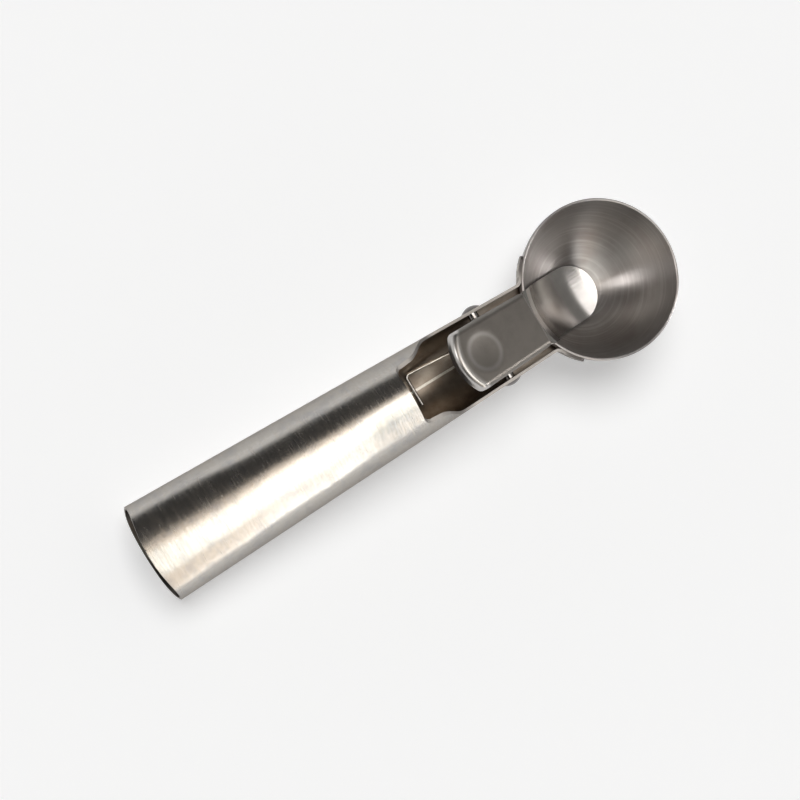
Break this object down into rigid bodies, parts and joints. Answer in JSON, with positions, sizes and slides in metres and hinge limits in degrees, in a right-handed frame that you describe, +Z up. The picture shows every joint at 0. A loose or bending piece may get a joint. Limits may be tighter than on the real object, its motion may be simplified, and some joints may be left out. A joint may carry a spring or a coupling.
{
  "type": "lever ice cream scoop",
  "caption": "Stainless ice cream scoop: open oval tube handle, half-round bowl on two arms, and a sprung thumb lever whose dished tongue lifts the ball out of the bowl.",
  "frame": {"origin": "on the table that the scoop lies on, under the middle of its length and width", "axes": "+X from the tail of the handle to the bowl, +Y to the left seen from the tail, +Z up; the scoop lies at rest on the tail's lower edge and on the bowl, so its handle rises 5 degrees towards the bowl"},
  "size_m": [0.192, 0.052, 0.0343],
  "materials": {
    "brushed_tube": "stainless steel, brushed round the tube",
    "spun_bowl": "stainless steel, spun, fine rings round the bowl's axis",
    "lever_sheet": "stainless steel, satin pad and a brighter tongue brushed lengthwise",
    "rivet": "stainless steel, bright",
    "spring_wire": "stainless spring wire, drawn",
    "weld": "stainless weld, dull"
  },
  "bodies": {
    "handle": {"handle_tube": "brushed_tube", "tube_seam_weld": "weld", "scoop_bowl": "spun_bowl", "left_ear_spot_welds": "weld", "right_ear_spot_welds": "weld", "pivot_rivet": "rivet", "return_spring": "spring_wire"},
    "lever": {"thumb_lever": "lever_sheet", "return_spring_lever_leg": "spring_wire"}
  },
  "joints": [
    {"name": "thumb_lever_pivot", "type": "hinge", "parent": "handle", "child": "lever", "pos_m": [0.02948, 0, 0.01846], "axis": [0, -1, 0], "range_deg": [0, 40], "stiffness_Nm_per_rad": 0.16, "springref_deg": -20.05}
  ]
}
